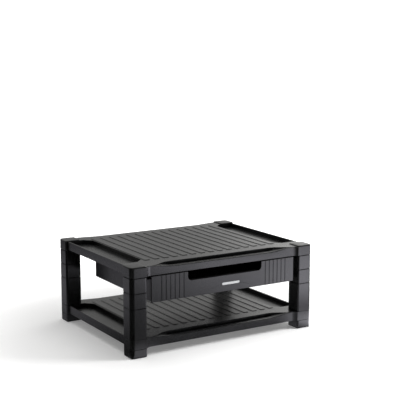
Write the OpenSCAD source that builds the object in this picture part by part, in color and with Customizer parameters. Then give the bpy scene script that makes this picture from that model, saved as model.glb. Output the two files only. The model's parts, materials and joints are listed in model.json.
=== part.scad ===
// Monitor riser stand: two moulded shelves on four stacked legs, with a shallow
// drawer hung under the upper shelf.
// The origin is on the floor at the middle of the stand. The front faces -Y.

/* [Overall] */
// Width across the outer faces of the legs
stand_w = 430; // [390:5:480]
// Depth across the outer faces of the legs
stand_d = 335; // [310:5:380]

/* [Legs] */
// Width of a square leg
leg_w = 35; // [32:1:40]
// Radius of the leg's outermost vertical corner
leg_outer_r = 8; // [4.5:0.5:9]
// Radius of the leg's other three vertical corners
leg_inner_r = 4; // [3:0.5:5]
// Wall of the hollow leg pieces
leg_wall = 2.4; // [2:0.2:2.8]
// Height of a foot, from the floor to the lower shelf
foot_h = 18.5; // [14:0.5:30]
// How far each side of a foot draws in at the floor
foot_taper = 1.5; // [0.5:0.5:3]
// Height of a column
column_h = 61; // [50:1:90]
// Height of one stacking riser
riser_h = 30; // [22:1:40]
// Height of the spigot that locates the next piece
spigot_h = 12; // [8:1:14]
// Rise of the domed cap at its middle
cap_rise = 2; // [1:0.5:3]
// Size of the shadow gap on top of a column or a riser
seam = 1.6; // [0.6:0.2:1.8]
// Size of the finer shadow gap on top of a foot or a shelf
fine_seam = 0.6; // [0.4:0.1:1]

/* [Shelves] */
// Height of a shelf's corner block
shelf_h = 19.5; // [17:0.5:26]
// How far the shelf's faces stand back from the leg faces
shelf_inset = 5; // [3:0.5:8]
// Plastic skin of the shelf
skin = 2.5; // [2:0.1:3]
// Drop of the front and back lips below the deck
lip_drop = 5; // [2:0.5:6]
// Length of the coves that flare the lips out to the leg faces
cove_w = 11; // [8:0.5:14]
// Front lip, from the front face to the edge of the deck
front_lip = 20; // [18:0.5:26]
// Back lip, from the back face to the edge of the deck
back_lip = 7; // [5:0.5:12]
// Length of the slot for a phone or tablet
slot_l = 254; // [180:2:270]
// Width of the slot for a phone or tablet
slot_w = 8.4; // [7:0.2:12]
// Depth of each side tray below the deck
side_tray_depth = 8.5; // [5:0.5:9]
// Width of each side tray, from the rim to the deck
side_tray_w = 49.5; // [40:0.5:56]
// Number of raised ribs on the deck
deck_ribs = 15; // [9:2:15]
// Distance from one deck rib to the next
deck_rib_pitch = 21.4; // [16:0.2:21.4]

/* [Drawer] */
// Height of the drawer front
drawer_h = 51; // [42:0.5:54]
// Gap between the drawer front and the shelf above it
drawer_top_gap = 1.5; // [0.5:0.1:2]
// Gap between the drawer front and each leg
drawer_gap = 11.4; // [10.7:0.1:14]
// Depth of the drawer tray
drawer_d = 251; // [240:1:260]
// How far the drawer pulls out
drawer_travel = 190; // [120:5:200]
// Width of the hand hole
hand_w = 175; // [120:5:180]
// Height of the hand hole
hand_h = 18; // [14:0.5:24]
// Grooves on each side of the drawer front
groove_count = 6; // [3:1:6]
// Distance from one groove to the next
groove_pitch = 10; // [8:0.1:10.1]

/* [Hidden] */
$fn = 64;
eps = 0.01;
fit_gap = 0.1;
// How far a cut runs past the face it opens
over = 1;

CORNERS = [["front_left", [-1, -1]], ["front_right", [1, -1]],
           ["back_left", [-1, 1]], ["back_right", [1, 1]]];
LEG_PIECES = ["foot_pad", "foot", "column", "lower_riser", "upper_riser", "cap"];

body_colour = [0.10, 0.10, 0.11];
pad_colour = [0.05, 0.05, 0.05];
badge_colour = [0.75, 0.76, 0.78];
screw_colour = [0.62, 0.63, 0.65];

// Heights of the stacked pieces above the floor
lower_shelf_z = foot_h;
column_z = lower_shelf_z + shelf_h;
lower_riser_z = column_z + column_h;
upper_riser_z = lower_riser_z + riser_h;
top_shelf_z = upper_riser_z + riser_h;
cap_z = top_shelf_z + shelf_h;

// Leg pieces
spigot_inset = leg_wall + fit_gap;
spigot_wall = 2.2;
spigot_bore_inset = spigot_inset + spigot_wall;
min_corner_r = 0.8;
pad_h = 2;
pad_proud = 1;
pad_w = 24;
pad_r = 3;
foot_floor = 4;
cap_plug_h = 6;
cap_seat = 0.4;
spigot_reach = shelf_h + spigot_h;

// Shelf, measured from the bottom of its corner blocks
rib_h = 0.9;
deck_z = shelf_h;
tray_z = deck_z - side_tray_depth;
slot_floor_z = 3;
slot_wall = 2.2;
slot_front = front_lip - slot_w;
cove_r = (cove_w * cove_w + shelf_inset * shelf_inset) / (2 * shelf_inset);
side_face_z = 2;
rim_w = 2.5;
tray_in = shelf_inset + rim_w + side_tray_w;
tray_chamfer = 16;
tray_front = leg_w + 15;
tray_back = stand_d - leg_w;
curve_steps = 16;
deck_rib_w = 10.7;
deck_rib_front = 54;
deck_rib_back = stand_d - leg_w;
lip_curve_out = 40;
lip_curve_in = 107;
deck_curve_out = 42;
deck_curve_in = 95;
stiffener_w = 1.6;
stiffener_pitch = 56;
stiffener_clear_z = 3;
stiffeners_each_side = 2;

// Rails, with their screws
rail_leg_gap = 1;
rail_out = stand_w / 2 - leg_w - rail_leg_gap;
rail_wall = 2;
rail_h = 12;
rail_set_back = 26;
rail_front = -stand_d / 2 + rail_set_back;
rail_spare = 4;
rail_l = drawer_d + rail_spare;
rail_flange = 10.5;
ear_w = 11.5;
ear_l = 14;
ear_hole_r = 1.8;
screw_x = rail_out + ear_w / 2;
screw_ys = [-0.34 * stand_d, -0.03 * stand_d, 0.25 * stand_d];
screw_r = 1.45;
screw_l = 9;
screw_head_r = 3.2;
screw_head_h = 1.8;
recess_l = 3.6;
recess_w = 0.7;
recess_depth = 1;
boss_r = 4.5;
pilot_r = 1.5;
pilot_h = 8;
stop_l = 3;
stop_h = 2;
stop_set_back = 3;
stop_y = rail_front + stop_set_back;

// Drawer
drawer_top_z = top_shelf_z - drawer_top_gap;
drawer_bottom_z = drawer_top_z - drawer_h;
front_w = stand_w - 2 * leg_w - 2 * drawer_gap;
front_t = 3;
front_set_back = 3;
front_y = -stand_d / 2 + front_set_back;
tray_gap = 1.5;
tray_w = 2 * (rail_out - rail_flange - tray_gap);
tray_wall = 2;
tray_y = front_y + front_t;
tray_bottom_gap = 0.5;
tray_bottom_z = drawer_bottom_z + tray_bottom_gap;
tray_top_gap = 4;
tray_top_z = top_shelf_z - tray_top_gap;
tray_corner_r = 4;
hand_r = 8.5;
hand_lip_t = 2.2;
hand_lip_d = 6;
groove_w = 2;
groove_depth = 0.8;
groove_first = 97;
runner_gap = 0.2;
runner_h = 5.5;
runner_clear = 0.5;
runner_w = rail_out - rail_wall - runner_clear - tray_w / 2;
runner_z = top_shelf_z - rail_h + rail_wall + runner_gap;
runner_set_back = 12;
runner_front = tray_y + runner_set_back;
cam_h = 2;
cam_l = 10;
cam_y = stop_y + stop_l + drawer_travel + runner_gap;
tongue_w = 12;
tongue_t = 2;
tongue_l = 6;
tongue_hook = 1;
// Each tongue's place across the front, and its height as a share of the front's
tongues = [[-140, 0.78], [140, 0.78], [-60, 0.18], [60, 0.18]];
badge_w = 42;
badge_h = 5;
badge_t = 0.9;
badge_sink = 0.5;
badge_x = 12.6;
badge_up = 16;
badge_z = drawer_bottom_z + badge_up;

function ease(t) = (1 - cos(180 * t)) / 2;

// ---- shared outlines -------------------------------------------------------

// What is taken off a square corner at the origin to round it
module corner_cut(r) {
    difference() {
        translate([-over, -over]) square(r + over);
        translate([r, r]) circle(r = r);
    }
}

// Square with its own radius at the origin corner and another at the rest
module rounded_square(size, r_first, r_rest) {
    difference() {
        square(size);
        corner_cut(r_first);
        translate([size, 0]) rotate(90) corner_cut(r_rest);
        translate([size, size]) rotate(180) corner_cut(r_rest);
        translate([0, size]) rotate(270) corner_cut(r_rest);
    }
}

// Section of a leg with its outermost corner at the origin, drawn in by inset
module leg_outline(inset = 0) {
    translate([inset, inset])
        rounded_square(leg_w - 2 * inset,
                       max(leg_outer_r - inset, min_corner_r),
                       max(leg_inner_r - inset, min_corner_r));
}

module leg_block(from_z, to_z, inset = 0) {
    translate([0, 0, from_z])
        linear_extrude(to_z - from_z)
            leg_outline(inset);
}

// Moves a piece drawn with its outermost corner at the origin to a stand corner
module at_corner(side) {
    translate([side[0] * stand_w / 2, side[1] * stand_d / 2, 0])
        mirror([side[0] > 0 ? 1 : 0, 0, 0])
            mirror([0, side[1] > 0 ? 1 : 0, 0])
                children();
}

module both_sides() {
    children();
    mirror([1, 0, 0]) children();
}

// Bar with round ends, centred on the origin and long in X
module stadium(l, w) {
    square([l - w, w], center = true);
    for (s = [-1, 1])
        translate([s * (l - w) / 2, 0]) circle(d = w);
}

// ---- legs ------------------------------------------------------------------

// Leg wall whose top edge steps in to leave a shadow gap under the next piece
module leg_body(from_z, to_z, gap) {
    leg_block(from_z, to_z - gap);
    leg_block(to_z - gap - eps, to_z, gap);
}

module foot_pad(side) {
    color(pad_colour)
        at_corner(side)
            translate([(leg_w - pad_w) / 2, (leg_w - pad_w) / 2, 0])
                linear_extrude(pad_h)
                    rounded_square(pad_w, pad_r, pad_r);
}

// Side view of a foot: straight above, drawn in towards the floor
module foot_taper_outline() {
    taper_z = foot_h / 2;
    polygon([[foot_taper, pad_proud], [leg_w - foot_taper, pad_proud],
             [leg_w, taper_z], [leg_w, foot_h + over], [0, foot_h + over], [0, taper_z]]);
}

module foot(side) {
    pad_x = (leg_w - pad_w) / 2 - fit_gap;
    color(body_colour)
        at_corner(side)
            difference() {
                union() {
                    intersection() {
                        leg_body(pad_proud, foot_h, fine_seam);
                        translate([0, leg_w, 0])
                            rotate([90, 0, 0])
                                linear_extrude(leg_w) foot_taper_outline();
                        rotate([90, 0, 90])
                            linear_extrude(leg_w) foot_taper_outline();
                    }
                    leg_block(foot_h - leg_wall, foot_h + spigot_reach, spigot_inset);
                }
                leg_block(pad_proud + foot_floor, foot_h + spigot_reach + over, spigot_bore_inset);
                translate([pad_x, pad_x, 0])
                    linear_extrude(pad_h)
                        rounded_square(pad_w + 2 * fit_gap, pad_r, pad_r);
            }
}

// Hollow stacking piece: open below, spigot above
module leg_shell(side, from_z, h) {
    top_z = from_z + h;
    color(body_colour)
        at_corner(side)
            difference() {
                union() {
                    leg_body(from_z, top_z, seam);
                    leg_block(top_z - leg_wall, top_z + spigot_h, spigot_inset);
                }
                leg_block(from_z - over, top_z - leg_wall, leg_wall);
                leg_block(from_z, top_z + spigot_h + over, spigot_bore_inset);
            }
}

module column(side) leg_shell(side, column_z, column_h);
module lower_riser(side) leg_shell(side, lower_riser_z, riser_h);
module upper_riser(side) leg_shell(side, upper_riser_z, riser_h);

// Space under a shallow arch along Y, as wide as the leg
module cap_arch() {
    drop = (cap_rise - cap_seat) / 2;
    arch_r = (leg_w * leg_w / 4 + drop * drop) / (2 * drop);
    translate([leg_w / 2, -over, cap_z + cap_rise - arch_r])
        rotate([-90, 0, 0])
            cylinder(r = arch_r, h = leg_w + 2 * over, $fn = 720);
}

// Pillow-shaped plate on a hollow plug that fits the shelf's socket
module cap(side) {
    color(body_colour)
        at_corner(side)
            union() {
                intersection() {
                    leg_block(cap_z, cap_z + cap_rise + over);
                    cap_arch();
                    mirror([1, -1, 0]) cap_arch();
                }
                difference() {
                    leg_block(cap_z - cap_plug_h, cap_z + eps, spigot_inset);
                    leg_block(cap_z - cap_plug_h - over, cap_z, spigot_bore_inset);
                }
            }
}

// ---- shelves ---------------------------------------------------------------

// Rectangle from two corners given as distances in from the front left corner
module plan_box(from, to) {
    translate([from[0] - stand_w / 2, from[1] - stand_d / 2])
        square([to[0] - from[0], to[1] - from[1]]);
}

// Front view of the shelf body: both lips dip between the legs in an S-curve
module lip_outline() {
    half_w = stand_w / 2 - shelf_inset;
    run = lip_curve_in - lip_curve_out;
    right_curve = [for (i = [0 : curve_steps])
        [stand_w / 2 - lip_curve_out - run * i / curve_steps,
         deck_z - lip_drop * ease(i / curve_steps)]];
    left_curve = [for (i = [curve_steps : -1 : 0])
        [-right_curve[i][0], right_curve[i][1]]];
    polygon(concat([[-half_w, 0], [half_w, 0], [half_w, deck_z]],
                   right_curve, left_curve, [[-half_w, deck_z]]));
}

// One edge of the deck in plan, from the right corner to the left one: it
// starts at the shelf's face and swings in by depth
function deck_edge(depth) = [for (s = [1, -1], i = [0 : curve_steps])
    let (t = (s > 0 ? i : curve_steps - i) / curve_steps)
    [s * (stand_w / 2 - deck_curve_out - (deck_curve_in - deck_curve_out) * t),
     stand_d / 2 - shelf_inset - (depth - shelf_inset) * ease(t)]];

module deck_outline() {
    half_w = stand_w / 2 - shelf_inset;
    half_d = stand_d / 2 - shelf_inset;
    front_edge = [for (p = deck_edge(front_lip + shelf_inset)) [-p[0], -p[1]]];
    polygon(concat([[-half_w, -half_d]], front_edge, [[half_w, -half_d], [half_w, half_d]],
                   deck_edge(back_lip + shelf_inset), [[-half_w, half_d]]));
}

// Plan of the left side tray, its inner corners cut off at 45 degrees
module side_tray_outline() {
    rim_x = shelf_inset + rim_w;
    translate([-stand_w / 2, -stand_d / 2])
        polygon([[rim_x, tray_front], [tray_in - tray_chamfer, tray_front],
                 [tray_in, tray_front + tray_chamfer], [tray_in, tray_back - tray_chamfer],
                 [tray_in - tray_chamfer, tray_back], [rim_x, tray_back]]);
}

module slot_outline(grow = 0) {
    translate([0, -stand_d / 2 + shelf_inset + slot_front + slot_w / 2])
        stadium(slot_l + 2 * grow, slot_w + 2 * grow);
}

// Everything inside the skirt, clear of the corner blocks and the slot's pocket
module underside_outline() {
    edge = shelf_inset + skin;
    difference() {
        plan_box([edge, edge], [stand_w - edge, stand_d - edge]);
        slot_outline(slot_wall);
        for (c = CORNERS)
            at_corner(c[1]) square(leg_w);
    }
}

// Space under the raised deck: the middle, and a pocket by each front corner
module deck_hollow_outline() {
    front = shelf_inset + front_lip + slot_wall;
    middle_in = tray_in + skin;
    plan_box([middle_in, front], [stand_w - middle_in, stand_d - shelf_inset - back_lip - skin]);
    both_sides()
        plan_box([leg_w + skin, front], [middle_in + over, tray_front - skin]);
}

module stiffeners() {
    tray_ceiling = tray_z - skin;
    deck_ceiling = deck_z - skin;
    intersection() {
        union() {
            translate([0, 0, stiffener_clear_z])
                linear_extrude(tray_ceiling - stiffener_clear_z + eps) underside_outline();
            translate([0, 0, tray_ceiling])
                linear_extrude(deck_ceiling - tray_ceiling + eps) deck_hollow_outline();
        }
        union() {
            for (i = [-stiffeners_each_side : stiffeners_each_side])
                translate([i * stiffener_pitch - stiffener_w / 2, -stand_d / 2, 0])
                    cube([stiffener_w, stand_d, shelf_h]);
            for (i = [-stiffeners_each_side : stiffeners_each_side])
                translate([-stand_w / 2, i * stiffener_pitch - stiffener_w / 2, 0])
                    cube([stand_w, stiffener_w, shelf_h]);
        }
    }
}

module rail_bosses() {
    both_sides()
        for (y = screw_ys)
            translate([screw_x, y, 0])
                cylinder(r = boss_r, h = tray_z - eps);
}

module deck_rib_set() {
    for (i = [0 : deck_ribs - 1])
        translate([(i - (deck_ribs - 1) / 2) * deck_rib_pitch - deck_rib_w / 2,
                   deck_rib_front - stand_d / 2, deck_z - eps])
            cube([deck_rib_w, deck_rib_back - deck_rib_front, rib_h + eps]);
}

// Plan of the cove beside the front left leg, with the leg's corner filled in
module cove_outline() {
    difference() {
        translate([leg_w - leg_inner_r, 0])
            square([leg_inner_r + cove_w, shelf_inset + over]);
        translate([leg_w + cove_w, shelf_inset - cove_r])
            circle(r = cove_r, $fn = 240);
    }
}

// Shelf body before its sockets and hollows are cut
module shelf_blank() {
    translate([0, stand_d / 2 - shelf_inset, 0])
        rotate([90, 0, 0])
            linear_extrude(stand_d - 2 * shelf_inset) lip_outline();
    linear_extrude(deck_z) deck_outline();
    for (c = CORNERS)
        at_corner(c[1]) {
            leg_body(0, shelf_h, fine_seam);
            linear_extrude(shelf_h - fine_seam) cove_outline();
        }
}

module shelf_cuts() {
    both_sides() {
        translate([0, 0, tray_z])
            linear_extrude(shelf_h) side_tray_outline();
        translate([0, 0, -over])
            linear_extrude(side_face_z + over)
                plan_box([0, leg_w], [shelf_inset + skin + eps, stand_d - leg_w]);
    }
    translate([0, 0, slot_floor_z])
        linear_extrude(shelf_h) slot_outline();
    translate([0, 0, -over])
        linear_extrude(tray_z - skin + over) underside_outline();
    translate([0, 0, stiffener_clear_z])
        linear_extrude(deck_z - skin - stiffener_clear_z) deck_hollow_outline();
}

module shelf(z) {
    color(body_colour)
        translate([0, 0, z])
            difference() {
                union() {
                    difference() {
                        shelf_blank();
                        shelf_cuts();
                    }
                    stiffeners();
                    rail_bosses();
                    deck_rib_set();
                }
                for (c = CORNERS)
                    at_corner(c[1]) leg_block(-over, shelf_h + over, leg_wall);
                both_sides()
                    for (y = screw_ys)
                        translate([screw_x, y, -over])
                            cylinder(r = pilot_r, h = pilot_h + over);
            }
}

module lower_shelf() shelf(lower_shelf_z);
module top_shelf() shelf(top_shelf_z);

// ---- drawer rails ----------------------------------------------------------

// Section of the right rail, open towards the drawer
module rail_outline() {
    difference() {
        translate([rail_out - rail_flange, top_shelf_z - rail_h])
            square([rail_flange, rail_h]);
        translate([rail_out - rail_flange - over, top_shelf_z - rail_h + rail_wall])
            square([rail_flange + over - rail_wall, rail_h - 2 * rail_wall]);
    }
}

// Screw ear beside the right rail, flat-ended towards the stand's side
module rail_ear(y) {
    translate([rail_out, y, top_shelf_z - rail_wall])
        linear_extrude(rail_wall)
            difference() {
                union() {
                    translate([-eps, -ear_l / 2])
                        square([ear_w / 2 + eps, ear_l]);
                    intersection() {
                        translate([ear_w / 2, 0]) circle(d = ear_l);
                        translate([0, -ear_l / 2]) square([ear_w, ear_l]);
                    }
                }
                translate([ear_w / 2, 0]) circle(r = ear_hole_r);
            }
}

module rail() {
    translate([0, rail_front + rail_l, 0])
        rotate([90, 0, 0])
            linear_extrude(rail_l) rail_outline();
    for (y = screw_ys)
        rail_ear(y);
    // Stop that the drawer's cams meet when the drawer is fully out
    translate([rail_out - rail_flange, stop_y, top_shelf_z - rail_wall - stop_h])
        cube([rail_flange - rail_wall + eps, stop_l, stop_h + eps]);
}

module right_rail() color(body_colour) rail();
module left_rail() color(body_colour) mirror([1, 0, 0]) rail();

// Pan head with a cross recess under the rail's ear, shank up in the boss
module rail_screw() {
    head_z = top_shelf_z - rail_wall - screw_head_h;
    difference() {
        union() {
            translate([0, 0, head_z]) cylinder(r = screw_head_r, h = screw_head_h);
            translate([0, 0, head_z + screw_head_h - eps]) cylinder(r = screw_r, h = screw_l + eps);
        }
        for (a = [0, 90])
            rotate(a)
                translate([-recess_l / 2, -recess_w / 2, head_z - over])
                    cube([recess_l, recess_w, recess_depth + over]);
    }
}

module rail_screws() {
    color(screw_colour)
        both_sides()
            for (y = screw_ys)
                translate([screw_x, y, 0]) rail_screw();
}

// ---- drawer ----------------------------------------------------------------

// Front view of the hand hole, open at the top and round at its lower corners
module hand_outline(grow = 0) {
    w = hand_w + 2 * grow;
    z = drawer_top_z - hand_h - grow;
    translate([-w / 2, z + hand_r]) square([w, hand_h + grow + tray_top_gap]);
    translate([-w / 2 + hand_r, z]) square([w - 2 * hand_r, hand_h]);
    for (s = [-1, 1])
        translate([s * (w / 2 - hand_r), z + hand_r]) circle(r = hand_r);
}

module upright(y, t) {
    translate([0, y + t, 0])
        rotate([90, 0, 0])
            linear_extrude(t) children();
}

module drawer_front() {
    color(body_colour) {
        difference() {
            upright(front_y, front_t)
                translate([-front_w / 2, drawer_bottom_z])
                    square([front_w, drawer_h]);
            upright(front_y - over, front_t + 2 * over) hand_outline();
            both_sides()
                for (i = [0 : groove_count - 1])
                    translate([groove_first + i * groove_pitch - groove_w / 2,
                               front_y - over, drawer_bottom_z - over])
                        cube([groove_w, over + groove_depth, drawer_h + 2 * over]);
            upright(front_y - over, over + badge_sink)
                translate([badge_x, badge_z])
                    stadium(badge_w + 2 * fit_gap, badge_h + 2 * fit_gap);
        }
        // Finger lip along the bottom of the hand hole
        translate([-hand_w / 2 + hand_r, front_y + front_t - eps, drawer_top_z - hand_h - hand_lip_t])
            cube([hand_w - 2 * hand_r, hand_lip_d, hand_lip_t]);
        for (p = tongues)
            drawer_tongue(p[0], drawer_bottom_z + p[1] * drawer_h);
    }
}

// Snap tongue that hooks behind the tray's front wall
module drawer_tongue(x, z) {
    translate([x - tongue_w / 2, tray_y - eps, z])
        cube([tongue_w, tongue_l, tongue_t]);
    translate([x - tongue_w / 2, tray_y + tray_wall + fit_gap, z - tongue_hook])
        cube([tongue_w, tongue_l - tray_wall - fit_gap - eps, tongue_hook + eps]);
}

module tray_plan(inset) {
    w = tray_w - 2 * inset;
    d = drawer_d - 2 * inset;
    r = tray_corner_r - inset;
    translate([-w / 2, tray_y + inset])
        difference() {
            square([w, d]);
            translate([w, d]) rotate(180) corner_cut(r);
            translate([0, d]) rotate(270) corner_cut(r);
        }
}

// Runner that slides in the right rail, with the cam that meets its stop
module drawer_runner() {
    translate([tray_w / 2 - eps, runner_front, runner_z]) {
        cube([runner_w + eps, tray_y + drawer_d - tray_corner_r - runner_front, runner_h]);
        translate([0, cam_y - runner_front, runner_h - eps])
            cube([runner_w + eps, cam_l, cam_h + eps]);
    }
}

module drawer_tray() {
    tray_h = tray_top_z - tray_bottom_z;
    color(body_colour) {
        difference() {
            translate([0, 0, tray_bottom_z]) linear_extrude(tray_h) tray_plan(0);
            translate([0, 0, tray_bottom_z + tray_wall]) linear_extrude(tray_h) tray_plan(tray_wall);
            upright(tray_y - over, tray_wall + 2 * over) hand_outline(hand_lip_t + fit_gap);
            for (p = tongues)
                translate([p[0] - tongue_w / 2 - fit_gap, tray_y - over,
                           drawer_bottom_z + p[1] * drawer_h - fit_gap])
                    cube([tongue_w + 2 * fit_gap, tray_wall + 2 * over, tongue_t + 2 * fit_gap]);
        }
        both_sides() drawer_runner();
    }
}

module drawer_badge() {
    color(badge_colour)
        upright(front_y + badge_sink - badge_t, badge_t)
            translate([badge_x, badge_z])
                stadium(badge_w, badge_h);
}

// ---- nodes -----------------------------------------------------------------

module leg_piece(piece, side) {
    if (piece == "foot_pad") foot_pad(side);
    if (piece == "foot") foot(side);
    if (piece == "column") column(side);
    if (piece == "lower_riser") lower_riser(side);
    if (piece == "upper_riser") upper_riser(side);
    if (piece == "cap") cap(side);
}

lower_shelf();
top_shelf();
drawer_front();
drawer_tray();
drawer_badge();
left_rail();
right_rail();
rail_screws();
for (c = CORNERS, piece = LEG_PIECES)
    leg_piece(piece, c[1]);
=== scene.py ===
"""Looks of the monitor riser stand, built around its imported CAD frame. Metres, front towards -Y."""
import json
import math

import bmesh
import bpy
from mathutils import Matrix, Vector


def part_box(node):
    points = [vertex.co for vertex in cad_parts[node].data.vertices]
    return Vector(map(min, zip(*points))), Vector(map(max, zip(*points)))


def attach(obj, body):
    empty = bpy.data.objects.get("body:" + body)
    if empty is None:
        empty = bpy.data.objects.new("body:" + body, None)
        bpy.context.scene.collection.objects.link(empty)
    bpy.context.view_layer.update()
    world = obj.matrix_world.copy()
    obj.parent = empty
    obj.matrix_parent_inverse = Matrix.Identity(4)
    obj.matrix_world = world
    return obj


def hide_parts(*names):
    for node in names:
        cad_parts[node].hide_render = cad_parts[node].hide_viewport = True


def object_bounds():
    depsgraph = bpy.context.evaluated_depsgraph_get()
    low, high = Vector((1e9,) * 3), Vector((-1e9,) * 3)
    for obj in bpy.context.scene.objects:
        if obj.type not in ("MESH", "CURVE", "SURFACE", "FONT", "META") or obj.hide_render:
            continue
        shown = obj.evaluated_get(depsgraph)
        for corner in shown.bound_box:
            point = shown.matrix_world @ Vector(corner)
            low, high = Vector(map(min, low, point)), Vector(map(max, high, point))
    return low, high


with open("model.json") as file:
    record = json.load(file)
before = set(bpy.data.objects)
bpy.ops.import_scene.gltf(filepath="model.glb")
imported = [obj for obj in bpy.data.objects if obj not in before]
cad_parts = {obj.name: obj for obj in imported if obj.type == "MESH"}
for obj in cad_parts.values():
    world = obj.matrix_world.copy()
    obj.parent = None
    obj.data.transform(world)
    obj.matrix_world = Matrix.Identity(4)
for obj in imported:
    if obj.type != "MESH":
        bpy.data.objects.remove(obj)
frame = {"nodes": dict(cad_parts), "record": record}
cad_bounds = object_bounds()

MM = 0.001

# A leg's four corners: the one at the stand's own corner is rounder than the other three
LEG_OUTER_R_MM = 8.0
LEG_INNER_R_MM = 4.0

# Each leg's name, and the side of the stand that it is on in x and y
CORNERS = {"front_left": (-1, -1), "front_right": (1, -1), "back_left": (-1, 1), "back_right": (1, 1)}


# ---- material helpers ------------------------------------------------------

class Nodes:
    """A material's node tree with short calls to add and join nodes."""

    def __init__(self, tree):
        self.tree = tree

    def add(self, kind, **settings):
        made = self.tree.nodes.new(kind)
        for key, value in settings.items():
            setattr(made, key, value)
        return made

    def join(self, source, target):
        self.tree.links.new(source, target)

    def place(self):
        """Position in the stand's own frame, so that a pattern rides with its piece."""
        return self.add("ShaderNodeTexCoord").outputs["Object"]

    def noise(self, vector, scale, detail=3.0, roughness=0.5, distortion=0.0):
        made = self.add("ShaderNodeTexNoise")
        made.inputs["Scale"].default_value = scale
        made.inputs["Detail"].default_value = detail
        made.inputs["Roughness"].default_value = roughness
        made.inputs["Distortion"].default_value = distortion
        self.join(vector, made.inputs["Vector"])
        return made.outputs["Fac"]

    def remap(self, value, from_low, from_high, to_low, to_high):
        made = self.add("ShaderNodeMapRange")
        for name, number in (("From Min", from_low), ("From Max", from_high),
                             ("To Min", to_low), ("To Max", to_high)):
            made.inputs[name].default_value = number
        self.join(value, made.inputs["Value"])
        return made.outputs["Result"]

    def maths(self, operation, first, second):
        made = self.add("ShaderNodeMath", operation=operation)
        for slot, value in zip(made.inputs, (first, second)):
            if isinstance(value, (int, float)):
                slot.default_value = value
            else:
                self.join(value, slot)
        return made.outputs["Value"]

    def vector(self, operation, first, second=None):
        """Vector maths. DISTANCE and DOT_PRODUCT give a number, the others a vector."""
        made = self.add("ShaderNodeVectorMath", operation=operation)
        self.join(first, made.inputs[0])
        if second is not None:
            made.inputs[1].default_value = second
        scalar = operation in ("DISTANCE", "DOT_PRODUCT")
        return made.outputs["Value" if scalar else "Vector"]

    def smooth(self, value, gone, full):
        """0 at gone, 1 at full, with a soft step between."""
        made = self.add("ShaderNodeMapRange", interpolation_type="SMOOTHSTEP")
        low, high = min(gone, full), max(gone, full)
        made.inputs["From Min"].default_value = low
        made.inputs["From Max"].default_value = high
        made.inputs["To Min"].default_value = 0.0 if gone < full else 1.0
        made.inputs["To Max"].default_value = 1.0 if gone < full else 0.0
        self.join(value, made.inputs["Value"])
        return made.outputs["Result"]

    def pick(self, factor, first, second):
        """The first shader where factor is 0, the second where it is 1."""
        made = self.add("ShaderNodeMixShader")
        self.join(factor, made.inputs["Fac"])
        self.join(first, made.inputs[1])
        self.join(second, made.inputs[2])
        return made.outputs["Shader"]

    def mix(self, factor, first, second):
        """The first colour where factor is 0, the second where it is 1."""
        made = self.add("ShaderNodeMix", data_type="RGBA")
        for name, kind, value in (("Factor", "VALUE", factor), ("A", "RGBA", first), ("B", "RGBA", second)):
            slot = next(s for s in made.inputs if s.name == name and s.type == kind)
            if isinstance(value, tuple):
                slot.default_value = value
            else:
                self.join(value, slot)
        return next(s for s in made.outputs if s.type == "RGBA")

    def bump(self, height, strength, distance, normal=None):
        made = self.add("ShaderNodeBump")
        made.inputs["Strength"].default_value = strength
        made.inputs["Distance"].default_value = distance
        self.join(height, made.inputs["Height"])
        if normal is not None:
            self.join(normal, made.inputs["Normal"])
        return made.outputs["Normal"]


def make_object(name, vertices, faces, material):
    mesh = bpy.data.meshes.new(name)
    mesh.from_pydata(vertices, [], faces)
    mesh.materials.append(material)
    made = bpy.data.objects.new(name, mesh)
    bpy.context.scene.collection.objects.link(made)
    return made


def grey(level, warm=0.0):
    """A grey with its red raised and its blue lowered by the share warm."""
    return (level * (1 + warm), level, level * (1 - warm), 1.0)


def new_material(name):
    material = bpy.data.materials.new(name)
    material.use_nodes = True
    tree = Nodes(material.node_tree)
    shader = material.node_tree.nodes["Principled BSDF"]
    return material, tree, shader


# Moulded plastic, the same for every finish. Noise scales are per metre. Creases get painted shade:
# OPEN_SHARE is how open to the air a place is where the painted shade is darkest, and where it ends.
CLOUD_SCALE = 14.0
STREAK_SCALE = 60.0
WAVE_SCALE = 9.0
WAVE_DEPTH_MM = 0.12
TINT = -0.02
WORN_POINTINESS = (0.52, 0.60)
WORN_TIMES_LIGHT = 2.5
OPEN_SHARE = (0.45, 0.95)
# Painted shade in creases: colour drops to this share of the darkest colour, and gloss drops to the crease
# specular
PAINTED_SHADE_TIMES_DARK = 0.15
PAINTED_SHADE_SPECULAR, UNSHADED_SPECULAR = 0.03, 0.5
GLOSS_SPREAD = 0.03
PLASTIC_IOR = 1.5

# Each finish: darkest and lightest colour, roughness, size and depth of the grain (mm),
# reach of the painted shade in creases (mm), and how far worn edges go towards their paler colour
PLASTICS = {
    "shelf_plastic": (0.007, 0.012, 0.28, 0.7, 0.030, 14.0, 0.25),
    "leg_plastic": (0.005, 0.008, 0.22, 0.6, 0.020, 5.0, 0.25),
    "cap_plastic": (0.006, 0.010, 0.32, 0.6, 0.020, 5.0, 0.25),
    "drawer_plastic": (0.007, 0.012, 0.30, 0.6, 0.025, 5.0, 0.25),
    "rail_plastic": (0.008, 0.012, 0.45, 0.8, 0.030, 5.0, 0.25),
    "badge_plastic": (0.62, 0.70, 0.38, 0.5, 0.010, 5.0, 0.0),
}


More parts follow.
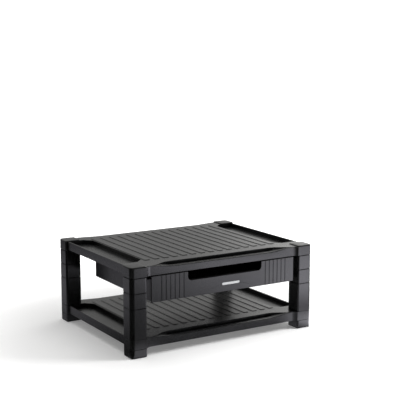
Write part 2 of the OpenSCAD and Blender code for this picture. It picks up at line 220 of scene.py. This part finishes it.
def moulded_plastic(name, dark, light, rough, grain_mm, grain_depth_mm, painted_shade_reach_mm, wear):
    """Satin moulded plastic: uneven colour and gloss, a fine spark-eroded grain, paler worn edges
    and painted shade that darkens the creases and dulls their gloss."""
    material, tree, shader = new_material(name)
    place = tree.place()
    cloud = tree.noise(place, CLOUD_SCALE, detail=4.0)
    streak = tree.noise(place, STREAK_SCALE, detail=2.0, distortion=0.4)
    grain = tree.noise(place, 1.0 / (grain_mm * MM), detail=2.0, roughness=0.65)
    # Painted shade: ambient occlusion marks the creases, whose colour and gloss are then darkened
    shade = tree.add("ShaderNodeAmbientOcclusion", samples=6)
    shade.inputs["Distance"].default_value = painted_shade_reach_mm * MM
    unshaded_share = tree.remap(shade.outputs["AO"], *OPEN_SHARE, 0.0, 1.0)
    colour = tree.mix(tree.remap(cloud, 0.35, 0.65, 0.0, 1.0), grey(dark, TINT), grey(light, TINT))
    pointiness = tree.add("ShaderNodeNewGeometry").outputs["Pointiness"]
    edge = tree.remap(pointiness, *WORN_POINTINESS, 0.0, wear)
    scuffed = tree.maths("MULTIPLY", edge, tree.remap(streak, 0.35, 0.6, 0.4, 1.0))
    colour = tree.mix(scuffed, colour, grey(light * WORN_TIMES_LIGHT))
    # Painted shade: creases are darkened towards near black
    colour = tree.mix(unshaded_share, grey(dark * PAINTED_SHADE_TIMES_DARK), colour)
    tree.join(colour, shader.inputs["Base Color"])
    # Painted shade also dulls the gloss in creases
    specular = tree.remap(unshaded_share, 0.0, 1.0, PAINTED_SHADE_SPECULAR, UNSHADED_SPECULAR)
    tree.join(specular, shader.inputs["Specular IOR Level"])
    cloudy = tree.remap(cloud, 0.3, 0.7, rough - GLOSS_SPREAD, rough + GLOSS_SPREAD)
    grainy = tree.remap(grain, 0.3, 0.7, -GLOSS_SPREAD, GLOSS_SPREAD)
    tree.join(tree.maths("ADD", cloudy, grainy), shader.inputs["Roughness"])
    normal = tree.bump(grain, 0.5, grain_depth_mm * MM)
    wave = tree.noise(place, WAVE_SCALE, detail=1.0)
    tree.join(tree.bump(wave, 0.3, WAVE_DEPTH_MM * MM, normal), shader.inputs["Normal"])
    shader.inputs["IOR"].default_value = PLASTIC_IOR
    return material


def rubber(name):
    """Dull black rubber with a coarse dusty tooth."""
    material, tree, shader = new_material(name)
    place = tree.place()
    tooth = tree.noise(place, 900.0, detail=4.0, roughness=0.7)
    colour = tree.mix(tree.remap(tooth, 0.4, 0.7, 0.0, 1.0), grey(0.012), grey(0.04, 0.03))
    tree.join(colour, shader.inputs["Base Color"])
    tree.join(tree.remap(tooth, 0.3, 0.7, 0.75, 0.95), shader.inputs["Roughness"])
    tree.join(tree.bump(tooth, 0.6, 0.1 * MM), shader.inputs["Normal"])
    return material


def plated_steel(name):
    """Zinc-plated screw steel with fine turning marks."""
    material, tree, shader = new_material(name)
    place = tree.place()
    marks = tree.noise(place, 1800.0, detail=3.0, distortion=1.5)
    stain = tree.noise(place, 300.0)
    colour = tree.mix(tree.remap(stain, 0.4, 0.65, 0.0, 1.0), grey(0.55, 0.02), grey(0.42, 0.06))
    tree.join(colour, shader.inputs["Base Color"])
    shader.inputs["Metallic"].default_value = 1.0
    tree.join(tree.remap(marks, 0.3, 0.7, 0.25, 0.42), shader.inputs["Roughness"])
    tree.join(tree.bump(marks, 0.4, 0.03 * MM), shader.inputs["Normal"])
    return material


MATERIALS = {name: moulded_plastic(name, *finish) for name, finish in PLASTICS.items()}
MATERIALS["rubber_pad"] = rubber("rubber_pad")
MATERIALS["screw_steel"] = plated_steel("screw_steel")


# ---- CAD nodes keep their shape and get softened edges ---------------------

WELD_MM = 0.002
SHARP_DEG = 35
EDGE_SEGMENTS = 3

# How far each finish's sharp edges are rounded
EDGE_MM = {"shelf_plastic": 0.35, "leg_plastic": 0.2, "drawer_plastic": 0.35, "rail_plastic": 0.3,
           "badge_plastic": 0.2, "rubber_pad": 0.3, "screw_steel": 0.15, "cap_plastic": 0.4}

# A shelf's lips are rounded most. Its other edges get up to a share of the height of the wall
# below them. Its front and back faces lie inside the stand's box, and the straight part of a lip
# stops short of the stand's sides. A face looks up where its normal's z is above UP_SHARE, and is
# upright where it is below.
LIP_EDGE_MM = 1.8
WALL_SHARE = 0.4
SHELF_INSET_MM = 5.0
LIP_CLEAR_MM = 66.0
NEAR_MM = 0.05
UP_SHARE = 0.5

stand_low, stand_high = cad_bounds


def on_face(edge):
    """Whether an edge lies in the plane of a shelf's front or back face."""
    face_y = stand_high[1] - SHELF_INSET_MM * MM
    return all(abs(abs(v.co.y) - face_y) < NEAR_MM * MM for v in edge.verts)


def on_lip(edge):
    """Whether an edge is the top edge of a shelf's front or back lip, clear of the corner curves."""
    clear_x = stand_high[0] - LIP_CLEAR_MM * MM
    upper = any(face.normal.z > UP_SHARE for face in edge.link_faces)
    return upper and on_face(edge) and all(abs(v.co.x) < clear_x for v in edge.verts)


def wall_height_mm(edge):
    """Height over an edge of the lowest upright triangle that meets it."""
    walls = [face for face in edge.link_faces if abs(face.normal.z) < UP_SHARE]
    heights = [2 * face.calc_area() / edge.calc_length() / MM for face in walls]
    return min(heights, default=LIP_EDGE_MM)


def rounding_mm(edge, width_mm, is_shelf):
    """How far an edge is rounded: most on a lip, least where a shelf's wall runs out to nothing."""
    if is_shelf and on_lip(edge):
        return LIP_EDGE_MM
    if is_shelf and not on_face(edge):
        return min(width_mm, WALL_SHARE * wall_height_mm(edge))
    return width_mm


def edge_key(first, second):
    """The same key for an edge in the welded copy and in the CAD mesh, whichever way it runs."""
    return tuple(sorted(tuple(round(c, 5) for c in point) for point in (first, second)))


def mark_edges(thing, width_mm, widest_mm, is_shelf):
    """Gives each sharp edge the share of the widest rounding that it gets."""
    welded = bmesh.new()
    welded.from_mesh(thing.data)
    bmesh.ops.remove_doubles(welded, verts=welded.verts, dist=WELD_MM * MM)
    shares = {}
    for edge in welded.edges:
        if edge.is_manifold and edge.calc_face_angle() > math.radians(SHARP_DEG):
            share = rounding_mm(edge, width_mm, is_shelf) / widest_mm
            shares[edge_key(*(vertex.co for vertex in edge.verts))] = share
    welded.free()
    mesh = thing.data
    marks = mesh.attributes.new("bevel_weight_edge", "FLOAT", "EDGE")
    keys = [edge_key(*(mesh.vertices[i].co for i in edge.vertices)) for edge in mesh.edges]
    marks.data.foreach_set("value", [shares.get(key, 0.0) for key in keys])


def soften(thing, width_mm, is_shelf):
    """Rounds a CAD node's sharp edges with modifiers, its own mesh's shape untouched."""
    widest_mm = LIP_EDGE_MM if is_shelf else width_mm
    thing.data.polygons.foreach_set("use_smooth", [True] * len(thing.data.polygons))
    mark_edges(thing, width_mm, widest_mm, is_shelf)
    weld = thing.modifiers.new("weld", "WELD")
    weld.merge_threshold = WELD_MM * MM
    bevel = thing.modifiers.new("bevel", "BEVEL")
    bevel.width = widest_mm * MM
    bevel.segments = EDGE_SEGMENTS
    bevel.limit_method = "WEIGHT"
    bevel.use_clamp_overlap = False
    bevel.miter_outer = "MITER_ARC"
    flat = thing.modifiers.new("flat", "WEIGHTED_NORMAL")
    flat.mode = "FACE_AREA"
    flat.weight = 100


slots = {part["node"]: part["material_slot"] for part in frame["record"]["subparts"]}
for name, thing in frame["nodes"].items():
    slot = slots[name]
    thing.data.materials.clear()
    thing.data.materials.append(MATERIALS[slot])
    soften(thing, EDGE_MM[slot], name.endswith("shelf"))


# ---- pillow caps -----------------------------------------------------------

# The plug is a hollow square under the plate. Insets are measured in from the leg's outside.
CAP_PLUG_MM = 6.0
CAP_PLUG_INSET_MM = 2.5
CAP_BORE_INSET_MM = 4.7
CAP_UNDERSIDE_INSET_MM = 0.3

# The plate's edge is a quarter round, and its top rises to a low crown
CAP_EDGE_R_MM = 1.5
CAP_EDGE_STEPS = 6
CAP_CROWN_MM = 0.35
CAP_CROWN_REACH_MM = 14.0
CAP_CROWN_SHARES = (0.3, 0.55, 0.8)
CAP_LEAST_R_MM = 0.8
CAP_SHARP_DEG = 50
ARC_STEPS = 8


def leg_ring(middle, side, half, inset):
    """One loop of a leg's section: (x, y) points anticlockwise, drawn in by inset."""
    ring = []
    for turn in range(4):
        mid_angle = math.radians(45 + 90 * turn)
        quarter = (1 if math.cos(mid_angle) > 0 else -1, 1 if math.sin(mid_angle) > 0 else -1)
        full = LEG_OUTER_R_MM if quarter == side else LEG_INNER_R_MM
        radius = max(full * MM - inset, CAP_LEAST_R_MM * MM)
        reach = half - inset - radius
        for step in range(ARC_STEPS + 1):
            angle = math.radians(90 * turn + 90 * step / ARC_STEPS)
            ring.append((middle[0] + quarter[0] * reach + radius * math.cos(angle),
                         middle[1] + quarter[1] * reach + radius * math.sin(angle)))
    return ring


def pillow_profile(rise):
    """(inset, height) pairs in metres, from the plug's bore out round the edge and over the crown."""
    edge = CAP_EDGE_R_MM * MM
    crown = CAP_CROWN_MM * MM
    bore = CAP_BORE_INSET_MM * MM
    plug = CAP_PLUG_INSET_MM * MM
    foot = -CAP_PLUG_MM * MM
    pairs = [(bore, 0.0), (bore, foot), (plug, foot), (plug, 0.0), (CAP_UNDERSIDE_INSET_MM * MM, 0.0)]
    shoulder = rise - crown - edge
    for step in range(CAP_EDGE_STEPS + 1):
        angle = math.radians(90 * step / CAP_EDGE_STEPS)
        pairs.append((edge * (1 - math.cos(angle)), shoulder + edge * math.sin(angle)))
    for share in CAP_CROWN_SHARES:
        pairs.append((edge + share * CAP_CROWN_REACH_MM * MM, rise - crown * (1 - share) ** 2))
    return pairs


def pillow_cap(corner, side):
    """A corner cap in the CAD cap's place: rings up the profile, closed at the bore's top and the crown."""
    low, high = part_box(corner + "_cap")
    half = (high[0] - low[0]) / 2
    middle = ((low[0] + high[0]) / 2, (low[1] + high[1]) / 2)
    seat_z = low[2] + CAP_PLUG_MM * MM
    vertices = []
    rings = []
    for inset, height in pillow_profile(high[2] - seat_z):
        ring = leg_ring(middle, side, half, inset)
        rings.append(range(len(vertices), len(vertices) + len(ring)))
        vertices += [(x, y, seat_z + height) for x, y in ring]
    faces = [tuple(reversed(rings[0])), tuple(rings[-1])]
    count = len(rings[0])
    for first, second in zip(rings, rings[1:]):
        for i in range(count):
            j = (i + 1) % count
            faces.append((first[i], first[j], second[j], second[i]))
    made = make_object(corner + "_pillow_cap", vertices, faces, MATERIALS["cap_plastic"])
    made.data.polygons.foreach_set("use_smooth", [True] * len(made.data.polygons))
    made.data.set_sharp_from_angle(angle=math.radians(CAP_SHARP_DEG))
    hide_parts(corner + "_cap")
    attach(made, "stand")


# ---- stage, light and camera -----------------------------------------------

# Strength of each light: lamps in watts, the sky and the table's pools as emission.
# sky_all and table are the same in every direction and place.
POWER = {
    "sky_back": 0.42,
    "sky_back_right": 2.4,
    "sky_right": 0.3,
    "sky_left": 0.3,
    "sky_top": 0.8,
    "sky_front": 0.15,
    "sky_all": 0.045,
    "lamp_right": 16.0,
    "lamp_left": 1.0,
    "lamp_top": 6.0,
    "pool_front": 0.4,
    "pool_front_right": 3.6,
    "pool_right": 0.9,
    "pool_back": 2.2,
    "pool_back_left": 0.42,
    "pool_left_foot": 1.2,
    "pool_right_foot": 3.9,
    "pool_right_column": 1.5,
    "table": 0.02,
}

# Each soft patch of studio sky: azimuth and elevation of its middle, full inside, gone outside (degrees)
SKY = {
    "sky_back": (149, 6, 25, 70),
    "sky_back_right": (118, 8, 10, 32),
    "sky_right": (80, 25, 15, 50),
    "sky_left": (-145, 20, 12, 40),
    "sky_top": (0, 90, 15, 40),
    "sky_front": (-30, 22, 25, 75),
}

# Each soft pool of light that the plastic sees on the table: x, y, full inside, gone outside (metres)
POOLS = {
    "pool_front": (0.10, -0.30, 0.10, 0.40),
    "pool_front_right": (0.62, -0.80, 0.15, 0.75),
    "pool_right": (1.10, -0.05, 0.20, 0.60),
    "pool_back": (0.30, 0.95, 0.20, 0.70),
    "pool_back_left": (-0.55, 0.45, 0.10, 0.75),
    "pool_left_foot": (-0.17, -0.19, 0.02, 0.07),
    "pool_right_foot": (0.26, -0.20, 0.02, 0.09),
    "pool_right_column": (0.42, -0.46, 0.05, 0.20),
}

# Where the pools are hidden: a fan over the table that opens from the stand's front left corner,
# black up to DARK_HALF from its middle and gone DARK_BLUR further round (degrees)
DARK_MIDDLE = -60.0
DARK_HALF = 70.0
DARK_BLUR = 16.0

POOL_TINT = (0.985, 0.97, 1.06, 1.0)
SKY_TINT = (1.005, 1.0, 0.985, 1.0)

# The table's painted glow, for the camera only: weak by the stand, which keeps the shade around it deep,
# and full further out (metres)
GLOW_NEAR, GLOW_FAR = 0.20, 0.95
GLOW_FROM_M, GLOW_TO_M = 0.28, 0.75

FLOOR_HALF_M = 8.0
FLOOR_ROUGH = 0.8
FLOOR_GREYS = (0.84, 0.88)
WHITE_STRENGTH = 1.15

# Each lamp: where it stands, what it aims at, its side (metres), whether the plastic mirrors it
LAMPS = {
    "lamp_right": ((1.0, -0.75, 0.9), (0.0, 0.0, 0.1), 0.5, False),
    "lamp_left": ((-1.3, 0.6, 1.0), (-0.1, 0.0, 0.1), 0.8, True),
    "lamp_top": ((0.0, 0.0, 1.4), (0.0, 0.0, 0.0), 1.2, False),
}

# The camera looks from the front left, a little above, at a point offset from the stand's middle
CAMERA_AZIMUTH = -31.546
CAMERA_ELEVATION = 9.183
CAMERA_AIM_OFFSET_M = (0.0445, 0.0058, 0.1747)
CAMERA_DISTANCE_M = 2.117
CAMERA_LENS_MM = 88.51
SENSOR_MM = 36.0


def direction(azimuth, elevation=0.0):
    """Unit vector: azimuth 0 is straight in front of the stand, positive to the right."""
    turn, rise = math.radians(azimuth), math.radians(elevation)
    return Vector((math.sin(turn) * math.cos(rise), -math.cos(turn) * math.cos(rise), math.sin(rise)))


def floor(corner):
    """Pale table with a painted glow for the camera, weaker by the stand so that the shade there stays
    deep. In the plastic it shows as pools of light on near black, with none in the dark fan from the given
    corner."""
    material, tree, shader = new_material("floor_paint")
    place = tree.place()
    mottle = tree.noise(place, 3.0, detail=3.0)
    tree.join(tree.mix(mottle, *(grey(level) for level in FLOOR_GREYS)), shader.inputs["Base Color"])
    shader.inputs["Roughness"].default_value = FLOOR_ROUGH
    shader.inputs["Specular IOR Level"].default_value = 0.0
    total = POWER["table"]
    for name, (x, y, inner, outer) in POOLS.items():
        gap = tree.vector("DISTANCE", place, (x, y, 0.0))
        pool = tree.maths("MULTIPLY", tree.smooth(gap, outer, inner), POWER[name])
        total = tree.maths("ADD", total, pool)
    away = tree.vector("NORMALIZE", tree.vector("SUBTRACT", place, (corner[0], corner[1], 0.0)))
    towards = tree.vector("DOT_PRODUCT", away, tuple(direction(DARK_MIDDLE)))
    clear = tree.smooth(towards, math.cos(math.radians(DARK_HALF)),
                        math.cos(math.radians(DARK_HALF + DARK_BLUR)))
    seen = tree.add("ShaderNodeEmission")
    seen.inputs["Color"].default_value = POOL_TINT
    tree.join(tree.maths("MULTIPLY", total, clear), seen.inputs["Strength"])
    # Painted glow: weaker near the stand, which leaves a painted shade around it
    glow = tree.smooth(tree.vector("DISTANCE", place, (0.0, 0.0, 0.0)), GLOW_FROM_M, GLOW_TO_M)
    lift = tree.add("ShaderNodeEmission")
    tree.join(tree.remap(glow, 0.0, 1.0, GLOW_NEAR, GLOW_FAR), lift.inputs["Strength"])
    bright = tree.add("ShaderNodeAddShader")
    tree.join(shader.outputs["BSDF"], bright.inputs[0])
    tree.join(lift.outputs["Emission"], bright.inputs[1])
    path = tree.add("ShaderNodeLightPath")
    direct = tree.pick(path.outputs["Is Camera Ray"], shader.outputs["BSDF"], bright.outputs["Shader"])
    both = tree.pick(path.outputs["Is Glossy Ray"], direct, seen.outputs["Emission"])
    tree.join(both, material.node_tree.nodes["Material Output"].inputs["Surface"])
    half = FLOOR_HALF_M
    square = [(-half, -half, 0), (half, -half, 0), (half, half, 0), (-half, half, 0)]
    made = make_object("floor", square, [(0, 1, 2, 3)], material)


def lamp(name, place, aim, size, mirrored):
    """Soft square lamp. One that isn't mirrored gives light but leaves no highlight on the plastic."""
    light = bpy.data.lights.new(name, "AREA")
    light.shape = "SQUARE"
    light.size = size
    light.energy = POWER[name]
    made = bpy.data.objects.new(name, light)
    made.location = place
    made.rotation_euler = (Vector(aim) - Vector(place)).to_track_quat("-Z", "Y").to_euler()
    made.visible_glossy = mirrored
    bpy.context.scene.collection.objects.link(made)


def studio_world():
    """Soft patches of sky for the plastic, plain white for the camera."""
    world = bpy.data.worlds.new("studio")
    world.use_nodes = True
    bpy.context.scene.world = world
    tree = Nodes(world.node_tree)
    looking = tree.add("ShaderNodeTexCoord").outputs["Generated"]
    total = POWER["sky_all"]
    for name, (azimuth, elevation, inner, outer) in SKY.items():
        towards = tree.vector("DOT_PRODUCT", looking, tuple(direction(azimuth, elevation)))
        patch = tree.smooth(towards, math.cos(math.radians(outer)), math.cos(math.radians(inner)))
        total = tree.maths("ADD", total, tree.maths("MULTIPLY", patch, POWER[name]))
    sky = world.node_tree.nodes["Background"]
    sky.inputs["Color"].default_value = SKY_TINT
    tree.join(total, sky.inputs["Strength"])
    white = tree.add("ShaderNodeBackground")
    white.inputs["Color"].default_value = grey(1.0)
    white.inputs["Strength"].default_value = WHITE_STRENGTH
    path = tree.add("ShaderNodeLightPath")
    shown = tree.pick(path.outputs["Is Camera Ray"], sky.outputs["Background"], white.outputs["Background"])
    tree.join(shown, world.node_tree.nodes["World Output"].inputs["Surface"])


def camera():
    middle = (Vector(stand_low) + Vector(stand_high)) / 2
    back = direction(CAMERA_AZIMUTH, CAMERA_ELEVATION)
    data = bpy.data.cameras.new("camera")
    data.sensor_width = SENSOR_MM
    data.lens = CAMERA_LENS_MM
    made = bpy.data.objects.new("camera", data)
    made.location = middle + Vector(CAMERA_AIM_OFFSET_M) + back * CAMERA_DISTANCE_M
    made.rotation_euler = (-back).to_track_quat("-Z", "Y").to_euler()
    bpy.context.scene.collection.objects.link(made)
    bpy.context.scene.camera = made


for corner, side in CORNERS.items():
    pillow_cap(corner, side)

floor((stand_low[0], stand_low[1]))
for name, setting in LAMPS.items():
    lamp(name, *setting)
studio_world()
camera()
bpy.context.scene.view_settings.view_transform = "Standard"
bpy.context.scene.cycles.use_denoising = True
